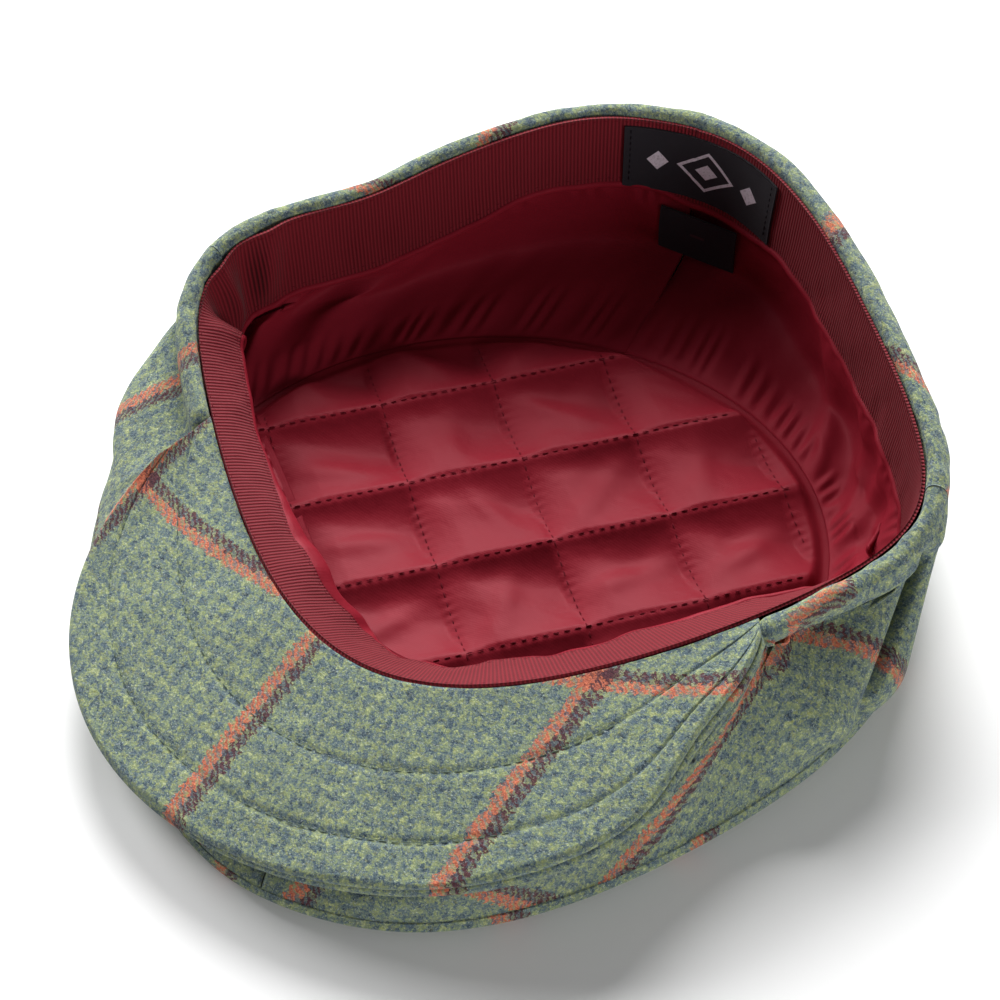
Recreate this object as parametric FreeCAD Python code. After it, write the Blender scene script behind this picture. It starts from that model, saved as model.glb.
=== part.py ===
import FreeCAD, Part
import math, os
from math import sin, cos, pi, radians, sqrt
from FreeCAD import Vector

# Soft tweed cap lying upside-down on its crown, millimetres, +Z up.
# The head opening faces +Z, the visor points to -Y, the back of the head is +Y.
# Origin: centre of the bounding box, on the surface the crown rests on.

# ---------------------------------------------------------------- driving dimensions
RIM_W = 98.5            # half width term of the head opening (57 cm head)
RIM_L = 81.7            # half length term of the head opening
RIM_Z = 43.0            # mean height of the head opening above the surface
RIM_RISE = 15.5         # the back of the opening stands higher, the front lower
CROWN_W = 110.0         # half width of the crown outline
CROWN_L = 118.0         # half length term of the crown outline
CROWN_CY = -20.0        # crown centre, measured from the middle of the opening
SEAM_Z = 11.0           # mean height of the seam between top panel and side panels
FLOOR_K = 0.75          # share of the crown outline that lies flat
VISOR_W = 84.4          # half width term of the visor
VISOR_L = 77.4          # reach of the visor outline from its own centre
VISOR_CY = -66.5
VISOR_EDGE_Z = 17.0     # height of the visor edge at its middle
VISOR_TIP_DEG = 52.0    # the visor is sewn to +-52 degrees of the opening
TWEED = 1.8             # tweed with its interlining
ROLL = 6.4              # width of the rolled rim
COVER = 1.6             # visor covers
BOARD = 2.2             # visor board
BAND_H = 25.0           # grosgrain sweatband
BAND_T = 0.9
LEAN_BACK, LEAN_FRONT = 2.0, 19.0
SATIN = 0.7
PIPING_R = 1.1          # satin piping below the sweatband
PANEL_SEAM_DEG = 85.0   # seam between side panels and back panel
QUILT_W, QUILT_L, QUILT_CY = 84.0, 77.0, -28.0
QUILT_A, QUILT_B = 29.5, 32.0   # distances between rows of quilting
QUILT_DEG = -46.2       # direction from row to row of the first set
QUILT_X0, QUILT_Y0 = -72.5, -24.6   # one crossing of two rows
TOP_T = 2.0             # top panel thickness where it lies flat
LABEL_W, LABEL_T = 50.0, 0.5
TAB_W, TAB_H, TAB_T = 24.0, 16.0, 0.6
Y_SHIFT = 23.47         # brings the bounding box centre to Y = 0
X_SHIFT = 0.0

os.makedirs("parts", exist_ok=True)


def add(a, b, k=1.0):
    return (a[0] + k * b[0], a[1] + k * b[1], a[2] + k * b[2])


def mix(a, b, t):
    return (a[0] + (b[0] - a[0]) * t, a[1] + (b[1] - a[1]) * t, a[2] + (b[2] - a[2]) * t)


def sub(a, b):
    return (a[0] - b[0], a[1] - b[1], a[2] - b[2])


def cross(a, b):
    return (a[1] * b[2] - a[2] * b[1], a[2] * b[0] - a[0] * b[2], a[0] * b[1] - a[1] * b[0])


def unit(a):
    n = sqrt(a[0] ** 2 + a[1] ** 2 + a[2] ** 2) or 1.0
    return (a[0] / n, a[1] / n, a[2] / n)


def smooth(a, b, x):
    t = min(1.0, max(0.0, (x - a) / (b - a)))
    return t * t * (3 - 2 * t)


# ---------------------------------------------------------------- base curves
# th runs round the opening: 0 at the back, 90 degrees at the +X side, 180 at the front
def rim(th):
    s, c = sin(th), cos(th)
    x = RIM_W * s - 2.3 * sin(2 * th) - 3.4 * sin(3 * th)
    y = RIM_L * c + 10.2 * cos(3 * th) + 2.1 * s + 1.9 * sin(2 * th)
    # the worn edge dips at the back left and stands up either side of the dip
    deg = math.degrees(th) % 360
    lift = 0.0
    for centre, width, amount in ((338, 13, 3.0), (307, 11, -4.2), (48, 10, -0.8)):
        lift += amount * math.exp(-((deg - centre) / width) ** 2)
    return (x, y, RIM_Z + RIM_RISE * c + (0.045 - 0.03 * c) * x + lift)


def rim_n(th):
    a, b = rim(th - 1e-3), rim(th + 1e-3)
    dx, dy = b[0] - a[0], b[1] - a[1]
    n = math.hypot(dx, dy)
    return (-dy / n, dx / n, 0.0)


def at_rim(th, out, dz):
    return add(add(rim(th), rim_n(th), out), (0, 0, 1), dz)


def hump(th, centre, half):
    # a smooth rise of height 1 round an angle given in degrees
    d = (math.degrees(th) - centre + 180) % 360 - 180
    return cos(pi / 2 * d / half) ** 2 if abs(d) < half else 0.0


def crown(th, k=1.0):
    s, c = sin(th), cos(th)
    k *= 1 - 0.036 * hump(th, 128, 38) - 0.026 * hump(th, 205, 24)
    x = CROWN_W * s + 1.5 * sin(3 * th)
    y = CROWN_L * c - 4 * c * c + 4 * cos(3 * th)
    return (k * x, CROWN_CY + k * y, SEAM_Z + 4.2 * c)


def crown_n(th):
    a, b = crown(th - 1e-3), crown(th + 1e-3)
    dx, dy = b[0] - a[0], b[1] - a[1]
    n = math.hypot(dx, dy)
    return (-dy / n, dx / n, 0.0)


def visor_edge(ph):
    s, c = sin(ph), cos(ph)
    x = -0.9 + VISOR_W * s + 2.5 * sin(2 * ph)
    y = VISOR_CY - VISOR_L * c + 6.3 * s
    z = VISOR_EDGE_Z + 12.5 * (1 - c) + 3 * (1 - c) ** 2 + 0.075 * x
    return (x, y, z)


def visor(s, w):
    # s: -1 left tip .. +1 right tip;  w: 0 at the head opening .. 1 at the free edge
    inner = at_rim(radians(180 - VISOR_TIP_DEG * s), 0.9, 0.4)
    return mix(inner, visor_edge(radians(100.0 * s)), w)


def visor_n(s, w):
    # a smooth direction across the visor, away from the surface it faces
    x = visor(s, w)[0]
    return unit((-(0.30 * x / VISOR_W + 0.07), -0.20, 1.0))


def visor_layer(depth):
    return lambda s, w: add(visor(s, w), visor_n(s, w), -depth)


def lean(th):
    return LEAN_BACK + (LEAN_FRONT - LEAN_BACK) * smooth(-0.25, 0.85, -cos(th))


def band(th, v):
    ln = lean(th)
    return at_rim(th, -ln * v, 0.3 - sqrt(BAND_H ** 2 - ln ** 2) * v)


def band_n(th):
    # unit normal of the sweatband towards the head
    ln = lean(th)
    h = sqrt(BAND_H ** 2 - ln ** 2)
    n = rim_n(th)
    return unit((-n[0] * h, -n[1] * h, ln))


def band_layer(depth):
    return lambda th, v: add(band(th, v), band_n(th), depth)


def spline(points, t):
    # Catmull-Rom through the way points, t in 0..1
    n = len(points) - 1
    f = min(max(t, 0.0), 1.0) * n
    i = min(int(f), n - 1)
    u = f - i
    p1, p2 = points[i], points[i + 1]
    p0 = points[i - 1] if i > 0 else mix(p2, p1, 2.0)
    p3 = points[i + 2] if i + 2 <= n else mix(p1, p2, 2.0)
    out = []
    for a, b, c, d in zip(p0, p1, p2, p3):
        out.append(0.5 * (2 * b + (c - a) * u + (2 * a - 5 * b + 4 * c - d) * u * u
                          + (3 * b - a - 3 * c + d) * u ** 3))
    return tuple(out)


def front_share(th):
    return 1.0 - smooth(radians(54), radians(80), abs(((th + 2 * pi) % (2 * pi)) - pi))


def shell_points(th):
    r, k = rim(th), crown(th)
    kn = crown_n(th)
    zs = k[2]
    z6 = r[2] - 8.0
    side = [at_rim(th, 0.8, -10), at_rim(th, 0.8, -3), at_rim(th, 1.6, 0.9),
            at_rim(th, 3.6, 1.8), at_rim(th, 5.8, 0.2), at_rim(th, ROLL, -3.5),
            at_rim(th, 5.0, -8)]
    m = mix(at_rim(th, 5.0, 0), add(k, kn, 2.0), 0.55)
    side.append((m[0], m[1], z6 - 0.35 * (z6 - zs - 3)))
    m = add(k, kn, 1.9)
    side.append((m[0], m[1], zs + 3 + 0.30 * (z6 - zs - 3)))
    m = add(k, kn, 1.3)
    side.append((m[0], m[1], zs + 3.0))
    side.append(k)
    f = front_share(th)
    if f <= 0:
        return side
    s = (pi - (th % (2 * pi))) / radians(VISOR_TIP_DEG)
    s = max(-1.0, min(1.0, s))
    deep = visor_layer(2 * COVER + BOARD + 1.3)
    front = [at_rim(th, 1.0, -13), at_rim(th, 1.4, -9.6), add(deep(s, 0.05), (0, 0, 1), -0.6)]
    front += [deep(s, w) for w in (0.18, 0.32, 0.46, 0.60, 0.78)]
    o = deep(s, 0.95)
    front.append(o)
    m = mix(o, k, 0.6)
    front.append((m[0], m[1], k[2] + 0.62 * (o[2] - k[2])))
    front.append(k)
    return [mix(a, b, f) for a, b in zip(side, front)]


def shell(th, t):
    return spline(shell_points(th), t)


def offset_in(fn, depth, flip=1.0):
    # the same surface moved by depth along its normal
    def g(u, v):
        e = 2e-3
        v0, v1 = max(0.0, v - e), min(1.0, v + e)
        a = sub(fn(u + e, v), fn(u - e, v))
        b = sub(fn(u, v1), fn(u, v0))
        return add(fn(u, v), unit(cross(a, b)), flip * depth)
    return g


def lining_edge(th, k=1.0):
    s, c = sin(th), cos(th)
    x = QUILT_W * s
    return (k * x, QUILT_CY + k * (QUILT_L * c + 0.12 * x), 7.4)


def lining_points(th):
    e = smooth(0.10, 0.70, -cos(th))
    top = band_layer(-1.3)(th, 0.86 + 0.11 * e)
    b1 = band_layer(-1.3)(th, 1.03)
    q = lining_edge(th, 1.012)
    q = (q[0], q[1], 7.6)
    n = rim_n(th)
    f = smooth(0.0, 0.8, -cos(th))
    g = smooth(0.3, 0.9, cos(th))
    h = b1[2] - q[2]
    p2 = add(b1, n, 0.8 - 1.6 * f)
    p2 = (p2[0], p2[1], q[2] + (0.62 - 0.04 * g) * h)
    p3 = mix(b1, q, 0.14 - 0.12 * g)
    p3 = (p3[0], p3[1], q[2] + (0.24 - 0.03 * g) * h)
    p4 = mix(b1, q, 0.5 - 0.08 * g)
    p4 = (p4[0], p4[1], q[2] + 0.05 * h + 0.3)
    # at the front the lining runs straight outwards from under the band
    ht = top[2] - q[2]
    ramp = [top]
    for w, k in ((0.07, 0.84), (0.20, 0.60), (0.42, 0.33), (0.70, 0.13)):
        m = mix(top, q, w)
        ramp.append((m[0], m[1], q[2] + k * ht))
    ramp.append(q)
    return [mix(a, b, e) for a, b in zip([top, b1, p2, p3, p4, q], ramp)]


def lining(th, t):
    return spline(lining_points(th), t)


# ---------------------------------------------------------------- solids
def relax(line, closed):
    # control points whose cubic spline passes very nearly through the given points
    n = len(line)
    out = []
    for i, p in enumerate(line):
        if not closed and i in (0, n - 1):
            out.append(p)
            continue
        l, r = line[i - 1], line[(i + 1) % n]
        out.append(tuple(q - (a - 2 * q + c) / 6.0 for a, q, c in zip(l, p, r)))
    return out


def net(fn, u0, u1, v0, v1, nu, nv, closed):
    cols = nu if closed else nu + 1
    g = [[fn(u0 + (u1 - u0) * i / nu, v0 + (v1 - v0) * j / nv) for j in range(nv + 1)] for i in range(cols)]
    g = [relax(row, False) for row in g]
    t = [relax([g[i][j] for i in range(cols)], closed) for j in range(nv + 1)]
    return [[t[j][i] for j in range(nv + 1)] for i in range(cols)]


def spline_face(poles, closed, deg_v):
    nu, nv = len(poles), len(poles[0])
    s = Part.BSplineSurface()
    if closed:
        uk = [float(i) for i in range(nu + 1)]
        um = [1] * (nu + 1)
    else:
        uk = [float(i) for i in range(nu - 2)]
        um = [4] + [1] * (nu - 4) + [4]
    if deg_v == 1:
        vk, vm = [0.0, 1.0], [2, 2]
    else:
        vk = [float(i) for i in range(nv - 2)]
        vm = [4] + [1] * (nv - 4) + [4]
    s.buildFromPolesMultsKnots([[Vector(*p) for p in r] for r in poles], um, vm, uk, vk, closed, False, 3, deg_v)
    return s


def pieces(s, closed):
    u0, u1, v0, v1 = s.bounds()
    if not closed:
        return [s.toShape()]
    m = (u0 + u1) / 2
    return [s.toShape(u0, m, v0, v1), s.toShape(m, u1, v0, v1)]


def plate(outer, inner, u0, u1, v0, v1, nu, nv, closed=False):
    nu, nv = max(nu, 3), max(nv, 3)
    po = net(outer, u0, u1, v0, v1, nu, nv, closed)
    pi_ = net(inner, u0, u1, v0, v1, nu, nv, closed)
    faces = []
    for p in (po, pi_):
        faces += pieces(spline_face(p, closed, 3), closed)
    for j in (0, -1):
        faces += pieces(spline_face([[a[j], b[j]] for a, b in zip(po, pi_)], closed, 1), closed)
    if not closed:
        for i in (0, -1):
            faces += pieces(spline_face([[a, b] for a, b in zip(po[i], pi_[i])], False, 1), False)
    return to_solid(faces)


def to_solid(faces, tol=1e-4):
    comp = Part.makeCompound(faces)
    comp.sewShape(tol)
    sh = comp if comp.ShapeType == "Shell" else None
    shells = comp.Shells
    best = max(shells, key=lambda x: len(x.Faces))
    sol = Part.Solid(best)
    if sol.Volume < 0:
        sol.reverse()
    fix = sol
    if not fix.isValid():
        fix.fix(1e-4, 1e-4, 1e-3)
    return fix


NODES = {}


def put(name, shape):
    sh = shape.copy()
    sh.translate(Vector(X_SHIFT, Y_SHIFT, 0))
    NODES[name] = sh


def closed_curve(fn, n=72):
    pts = [Vector(*fn(2 * pi * i / n)) for i in range(n)]
    c = Part.BSplineCurve()
    c.interpolate(pts, PeriodicFlag=True)
    return c.toShape()


# crown, tweed ------------------------------------------------------------------
gap = radians(0.12)
sm = radians(PANEL_SEAM_DEG)
skin_off = offset_in(shell, TWEED, -1.0)


def skin_in(th, t):
    p = skin_off(th, t)
    return (p[0], p[1], max(p[2], crown(th)[2] + 0.05)) if t > 0.5 else p


put("back_panel", plate(shell, skin_in, -sm + gap, sm - gap, 0, 1, 40, 26))
put("side_panel_right", plate(shell, skin_in, sm + gap, pi - gap, 0, 1, 26, 26))
put("side_panel_left", plate(shell, skin_in, pi + gap, 2 * pi - sm - gap, 0, 1, 26, 26))


def curl(th, t):
    zs = crown(th)[2] - 0.4
    kn = crown_n(th)
    pts = [crown(th), add(crown(th), kn, 0.7), crown(th, 0.972), crown(th, 0.90), crown(th, FLOOR_K)]
    zz = [zs, zs * 0.62, zs * 0.24, zs * 0.05, 0.0]
    return spline([(p[0], p[1], z) for p, z in zip(pts, zz)], t)


def curl_in(th, t):
    zs = crown(th)[2] - 0.4
    pts = [crown(th, 0.982), crown(th, 0.982), crown(th, 0.95), crown(th, 0.885), crown(th, FLOOR_K - 0.01)]
    zz = [zs, zs * 0.66, zs * 0.24 + 1.6, zs * 0.05 + TOP_T, TOP_T]
    return spline([(p[0], p[1], z) for p, z in zip(pts, zz)], t)


def dish():
    po = net(curl, 0, 2 * pi, 0, 1, 48, 14, True)
    pi_ = net(curl_in, 0, 2 * pi, 0, 1, 48, 14, True)
    faces = []
    for p, h in ((po, 0.0), (pi_, TOP_T)):
        s = spline_face(p, True, 3)
        faces += pieces(s, True)
        v1 = s.bounds()[3]
        c = s.vIso(v1)
        u0, u1 = c.FirstParameter, c.LastParameter
        w = Part.Wire([c.toShape(u0, (u0 + u1) / 2), c.toShape((u0 + u1) / 2, u1)])
        faces.append(Part.Face(Part.Plane(Vector(0, 0, h), Vector(0, 0, 1)), w))
    faces += pieces(spline_face([[a[0], b[0]] for a, b in zip(po, pi_)], True, 1), True)
    return to_solid(faces)


put("crown_top_panel", dish())

# visor ---------------------------------------------------------------------------
put("visor_under_cover", plate(visor_layer(0.0), visor_layer(COVER), -1, 1, 0, 1, 40, 8))
d = COVER + 0.15
put("visor_board", plate(visor_layer(d), visor_layer(d + BOARD), -0.96, 0.96, 0.05, 0.97, 40, 8))
d += BOARD + 0.15
put("visor_top_cover", plate(visor_layer(d), visor_layer(d + COVER), -1, 1, 0, 1, 40, 8))

# sweatband -----------------------------------------------------------------------
put("sweatband_ribbon", plate(band_layer(0.0), band_layer(BAND_T), 0, 2 * pi, 0, 1, 72, 3, True))

# satin piping along the sweatband's lower edge: a round edge, flat where it meets the ribbon
def piping(up):
    def g(th, v):
        a = radians(-60 + 120 * v)
        r = PIPING_R * (1.0 if up else 0.45)
        c = add(band(th, 1.0), band_n(th), PIPING_R * 0.35)
        c = add(c, (0, 0, 1), -PIPING_R - 0.25)
        n = rim_n(th)
        a *= 2.9
        return add(add(c, n, -r * cos(a)), (0, 0, 1), r * sin(a))
    return g


put("band_piping", plate(piping(True), piping(False), 0, 2 * pi, 0, 1, 72, 12, True))

# lining --------------------------------------------------------------------------
lin_in = offset_in(lining, SATIN)
g2 = radians(0.15)
put("lining_side_right", plate(lining, lin_in, g2, pi - g2, 0, 1, 36, 14))
put("lining_side_left", plate(lining, lin_in, pi + g2, 2 * pi - g2, 0, 1, 36, 14))


def slab(k, z0, z1):
    w = Part.Wire([closed_curve(lambda th: (lining_edge(th, k)[0], lining_edge(th, k)[1], z0))])
    return Part.Face(w).extrude(Vector(0, 0, z1 - z0))


put("lining_backing", slab(0.985, 2.3, 2.7))
put("lining_wadding", slab(0.975, 2.85, 6.2))
put("lining_crown_face", slab(0.985, 6.4, 7.4))

# quilting thread: straight rows of stitches crossing at right angles
def across(px, py, ang):
    # first and last distance along a row at which it is still on the quilted oval
    ux, uy = cos(ang), sin(ang)
    inside = []
    for j in range(-2400, 2401):
        t = j * 0.1
        x, y = px + ux * t, py + uy * t
        xx, yy = x / QUILT_W, (y - QUILT_CY - 0.12 * x) / QUILT_L
        if xx * xx + yy * yy < 0.90 ** 2:
            inside.append(t)
    return (inside[0], inside[-1]) if len(inside) > 400 else None


rows = []
ang_a, ang_b = radians(QUILT_DEG), radians(QUILT_DEG + 90)
for step, pitch, run in ((ang_a, QUILT_A, ang_b), (ang_b, QUILT_B, ang_a)):
    for i in range(-4, 8):
        px = QUILT_X0 + i * pitch * cos(step)
        py = QUILT_Y0 + i * pitch * sin(step)
        span = across(px, py, run)
        if span is None:
            continue
        b = Part.makeBox(span[1] - span[0], 0.6, 0.35)
        b.translate(Vector(0, -0.3, 0))
        b.rotate(Vector(0, 0, 0), Vector(0, 0, 1), math.degrees(run))
        b.translate(Vector(px + cos(run) * span[0], py + sin(run) * span[0], 7.45))
        rows.append(b)
q = rows[0].multiFuse(rows[1:])
put("quilting_thread", q)

# threads on the sweatband and the visor ---------------------------------------------
put("band_thread_upper", plate(band_layer(BAND_T + 0.1), band_layer(BAND_T + 0.4), 0, 2 * pi, 0.035, 0.06, 72, 2, True))
put("band_thread_lower", plate(band_layer(BAND_T + 0.1), band_layer(BAND_T + 0.4), 0, 2 * pi, 0.945, 0.97, 72, 2, True))


def visor_row(w0, ds, wmid=0.0):
    def f(up):
        def g(s, v):
            w = w0 + wmid * (1 - s * s) + ds * v
            return add(visor(s, w), visor_n(s, w), up)
        return g
    return f


edge_row = visor_row(0.80, 0.012)
put("visor_thread_edge", plate(edge_row(0.1), edge_row(0.4), -0.93, 0.93, 0, 1, 40, 2))
inner_row = visor_row(0.30, 0.012, 0.14)
put("visor_thread_inner", plate(inner_row(0.1), inner_row(0.4), -0.80, 0.80, 0, 1, 40, 2))

# maker's label at the centre back, on the head side of the sweatband --------------------
mid = radians(3.0)
half = LABEL_W / 2 / 86.0
lab0 = band_layer(BAND_T + 0.15)
lab1 = band_layer(BAND_T + 0.15 + LABEL_T)
put("maker_label", plate(lab0, lab1, mid - half, mid + half, 0.09, 0.91, 10, 3))
for nm, sg in (("right", 1), ("left", -1)):
    c = mid + sg * (half - 0.025)
    put("label_thread_" + nm, plate(band_layer(BAND_T + 0.75 + LABEL_T - 0.5), band_layer(BAND_T + 1.0 + LABEL_T - 0.5),
                                    c - 0.005, c + 0.005, 0.12, 0.88, 2, 3))

# size tab, hanging from its sewn top edge below the sweatband -----------------------------
n = rim_n(mid)
tx, ty = n[1], -n[0]
hinge = add(add(band(mid, 1.0), n, -3.1), (0, 0, 1), -2.8)
tab = Part.makeBox(TAB_W, TAB_T, TAB_H - 0.3)
tab.translate(Vector(-TAB_W / 2, -TAB_T / 2, -TAB_H))
tab.rotate(Vector(0, 0, 0), Vector(0, 0, 1), math.degrees(math.atan2(ty, tx)))
tab.translate(Vector(*hinge))
put("size_tab", tab)
print("hinge", hinge[0] + X_SHIFT, hinge[1] + Y_SHIFT, hinge[2], "axis", tx, ty)

# ---------------------------------------------------------------- write
box = None
for name, sh in NODES.items():
    if not sh.isValid() or len(sh.Solids) != 1:
        print("CHECK", name, sh.isValid(), len(sh.Solids))
    print("%-22s vol %10.1f  faces %3d" % (name, sh.Volume, len(sh.Faces)))
    sh.exportStep("parts/%s.step" % name)
    bb = sh.optimalBoundingBox() if hasattr(sh, "optimalBoundingBox") else sh.BoundBox
    box = bb if box is None else box.united(bb)
print("box", box)
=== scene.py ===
import math

import bpy
import numpy as np
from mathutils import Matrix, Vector


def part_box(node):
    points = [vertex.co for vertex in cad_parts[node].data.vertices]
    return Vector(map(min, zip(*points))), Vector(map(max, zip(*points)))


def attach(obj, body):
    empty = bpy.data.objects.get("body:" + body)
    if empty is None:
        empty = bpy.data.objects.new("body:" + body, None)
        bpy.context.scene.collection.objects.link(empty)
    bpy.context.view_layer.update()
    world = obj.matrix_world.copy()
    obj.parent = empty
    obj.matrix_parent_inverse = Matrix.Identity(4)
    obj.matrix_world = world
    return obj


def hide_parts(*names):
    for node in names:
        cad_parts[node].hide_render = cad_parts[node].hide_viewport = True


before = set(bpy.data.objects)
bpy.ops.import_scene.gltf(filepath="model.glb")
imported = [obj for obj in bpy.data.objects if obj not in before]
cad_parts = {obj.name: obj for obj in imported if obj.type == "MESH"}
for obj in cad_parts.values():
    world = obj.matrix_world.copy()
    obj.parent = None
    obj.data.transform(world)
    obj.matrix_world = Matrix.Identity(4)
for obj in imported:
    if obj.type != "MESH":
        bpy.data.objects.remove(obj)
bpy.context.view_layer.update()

# Shapes are worked out in millimetres round the middle of the head opening, as the
# CAD model does, and moved by Y_SHIFT and scaled to metres when a mesh is made.
Y_SHIFT = 23.47
MM = 0.001
PI = math.pi

# Main sizes, mm and degrees. Degrees go round the opening from the centre back, 0,
# by the right side, 90, to the centre front, 180.
RIM_W, RIM_L, RIM_Z, RIM_RISE = 98.5, 81.7, 43.0, 15.5      # head opening
CROWN_W, CROWN_L, CROWN_CY, SEAM_Z = 110.0, 118.0, -20.0, 11.0
VISOR_W, VISOR_L, VISOR_CY, VISOR_EDGE_Z = 84.4, 77.4, -66.5, 17.0
VISOR_DEG = 52.0            # the visor is sewn to this far each side of the front
BAND_H = 25.0               # ribbon sweatband
COVER, BOARD = 1.6, 2.2     # visor covers and board in the CAD model
LINING_W, LINING_L, LINING_CY, LINING_SKEW = 84.0, 77.0, -28.0, 0.12
LABEL_MID = math.radians(3.0)
LABEL_HALF, LABEL_RADIUS = 25.0, 86.0


# ------------------------------------------------------------------ shape functions
def vec(x, y, z):
    return np.stack(np.broadcast_arrays(x, y, z), -1).astype(float)


def smooth(a, b, x):
    t = np.clip((x - a) / (b - a), 0.0, 1.0)
    return t * t * (3 - 2 * t)


def mix(a, b, t):
    t = np.asarray(t, float)
    if t.ndim and np.ndim(a) > t.ndim:
        t = t[..., None]
    return a + (b - a) * t


def bump(x, centre, width):
    return np.exp(-((x - centre) / width) ** 2)


def lattice(x, y, seed):
    # smooth value noise from -1 to 1, the same every run
    xi, yi = np.floor(x).astype(int), np.floor(y).astype(int)
    fx, fy = x - xi, y - yi
    fx, fy = fx * fx * (3 - 2 * fx), fy * fy * (3 - 2 * fy)

    def h(i, j):
        n = (i * 374761393 + j * 668265263 + seed * 362437) & 0x7FFFFFFF
        n = ((n ^ (n >> 13)) * 1274126177) & 0x7FFFFFFF
        return ((n ^ (n >> 16)) & 0xFFFF) / 32767.5 - 1.0

    a = h(xi, yi) * (1 - fx) + h(xi + 1, yi) * fx
    b = h(xi, yi + 1) * (1 - fx) + h(xi + 1, yi + 1) * fx
    return a * (1 - fy) + b * fy


def rim(th):
    # top edge of the head opening; lift is where it was pushed up or down
    s, c = np.sin(th), np.cos(th)
    x = RIM_W * s - 2.3 * np.sin(2 * th) - 3.4 * np.sin(3 * th)
    y = RIM_L * c + 10.2 * np.cos(3 * th) + 2.1 * s + 1.9 * np.sin(2 * th)
    deg = np.degrees(th) % 360
    lift = 3.0 * bump(deg, 338, 13) - 4.2 * bump(deg, 307, 11) - 0.8 * bump(deg, 48, 10)
    return vec(x, y, RIM_Z + RIM_RISE * c + (0.045 - 0.03 * c) * x + lift)


def plan_normal(fn, th):
    d = fn(th + 1e-3) - fn(th - 1e-3)
    n = np.hypot(d[..., 0], d[..., 1])
    return vec(-d[..., 1] / n, d[..., 0] / n, 0 * n)


def rim_n(th):
    return plan_normal(rim, th)


def at_rim(th, out, dz):
    return rim(th) + rim_n(th) * np.asarray(out, float)[..., None] + vec(0, 0, dz)


def hump(th, centre, half):
    # 1 at centre, 0 from half either side, in degrees
    d = (np.degrees(th) - centre + 180) % 360 - 180
    return np.where(np.abs(d) < half, np.cos(PI / 2 * d / half) ** 2, 0.0)


def crown(th, k=1.0):
    # seam between the top panel and the side and back panels, or a ring inside it
    s, c = np.sin(th), np.cos(th)
    k = k * (1 - 0.036 * hump(th, 128, 38) - 0.026 * hump(th, 205, 24))
    x = CROWN_W * s + 1.5 * np.sin(3 * th)
    y = CROWN_L * c - 4 * c * c + 4 * np.cos(3 * th)
    return vec(k * x, CROWN_CY + k * y, SEAM_Z + 4.2 * c)


def crown_n(th):
    return plan_normal(crown, th)


def visor_edge(ph):
    s, c = np.sin(ph), np.cos(ph)
    x = -0.9 + VISOR_W * s + 2.5 * np.sin(2 * ph) - 5.3 * bump(np.degrees(ph), 79, 14)
    return vec(x, VISOR_CY - VISOR_L * c + 6.3 * s,
               VISOR_EDGE_Z + 12.5 * (1 - c) + 3 * (1 - c) ** 2 + 0.075 * x)


def visor(s, w):
    # s runs from -1 to 1 across the visor, w from 0 at the opening to 1 at the edge
    inner = at_rim(np.radians(180 - VISOR_DEG * s), 0.3, 0.5)
    return mix(inner, visor_edge(np.radians(100.0 * s)), w)


def unit(a):
    return a / np.maximum(np.linalg.norm(a, axis=-1, keepdims=True), 1e-9)


def visor_n(s, w):
    x = visor(s, w)[..., 0]
    return unit(vec(-(0.30 * x / VISOR_W + 0.07), -0.20, 1.0))


def visor_at(s, w, depth):
    return visor(s, w) - visor_n(s, w) * np.asarray(depth, float)[..., None]


def lean(th):
    # how far the ribbon's lower edge lies inside its upper edge
    return 2.0 + 17.0 * smooth(-0.25, 0.85, -np.cos(th))


def band(th, v):
    ln = lean(th)
    return at_rim(th, -ln * v, 0.3 - np.sqrt(BAND_H ** 2 - ln ** 2) * v)


def band_n(th):
    ln = lean(th)
    h = np.sqrt(BAND_H ** 2 - ln ** 2)
    n = rim_n(th)
    return unit(vec(-n[..., 0] * h, -n[..., 1] * h, ln))


def band_at(th, v, depth):
    return band(th, v) + band_n(th) * np.asarray(depth, float)[..., None]


def spline(points, t):
    # Catmull-Rom through way points; points are (nu, 3) arrays, t is (nv,)
    p = np.stack(points)
    n = len(points) - 1
    p = np.concatenate([2 * p[:1] - p[1:2], p, 2 * p[-1:] - p[-2:-1]])
    f = np.clip(t, 0, 1) * n
    i = np.minimum(f.astype(int), n - 1)
    u = (f - i)[:, None, None]
    a, b, c, d = (p[i + k] for k in range(4))
    out = 0.5 * (2 * b + (c - a) * u + (2 * a - 5 * b + 4 * c - d) * u * u
                 + (3 * b - a - 3 * c + d) * u ** 3)
    return out.transpose(1, 0, 2)


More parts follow.
